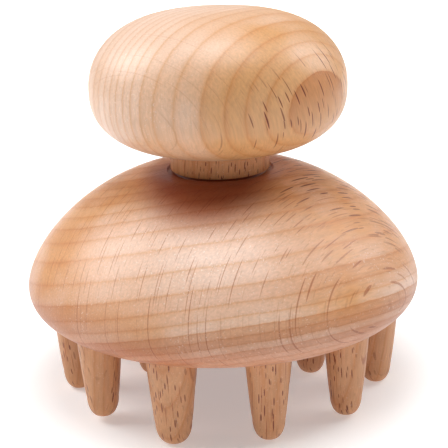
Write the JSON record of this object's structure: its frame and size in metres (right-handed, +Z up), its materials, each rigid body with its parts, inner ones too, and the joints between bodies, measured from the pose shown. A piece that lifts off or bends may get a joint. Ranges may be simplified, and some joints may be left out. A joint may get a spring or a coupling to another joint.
{
  "type": "curry comb",
  "caption": "Turned beech peg curry: a palm knob on a short neck over a domed round base with two rings of blunt tapered pegs.",
  "frame": {"origin": "on the turning axis, at the level of the longest pegs' tips", "axes": "+Z up along the turning axis from the pegs to the knob; -Y towards the front; +X to the right"},
  "size_m": [0.09, 0.09, 0.0866],
  "materials": {
    "beech_base": "satin, lightly waxed",
    "beech_neck": "satin, lightly waxed",
    "beech_knob": "satin, lightly waxed",
    "beech_pegs": "satin, lightly waxed"
  },
  "bodies": {
    "root": {"base": "beech_base", "neck": "beech_neck", "knob": "beech_knob", "peg_outer_01": "beech_pegs", "peg_outer_02": "beech_pegs", "peg_outer_03": "beech_pegs", "peg_outer_04": "beech_pegs", "peg_outer_05": "beech_pegs", "peg_outer_06": "beech_pegs", "peg_outer_07": "beech_pegs", "peg_outer_08": "beech_pegs", "peg_outer_09": "beech_pegs", "peg_outer_10": "beech_pegs", "peg_outer_11": "beech_pegs", "peg_inner_01": "beech_pegs", "peg_inner_02": "beech_pegs", "peg_inner_03": "beech_pegs", "peg_inner_04": "beech_pegs", "peg_inner_05": "beech_pegs", "peg_inner_06": "beech_pegs"}
  },
  "joints": []
}
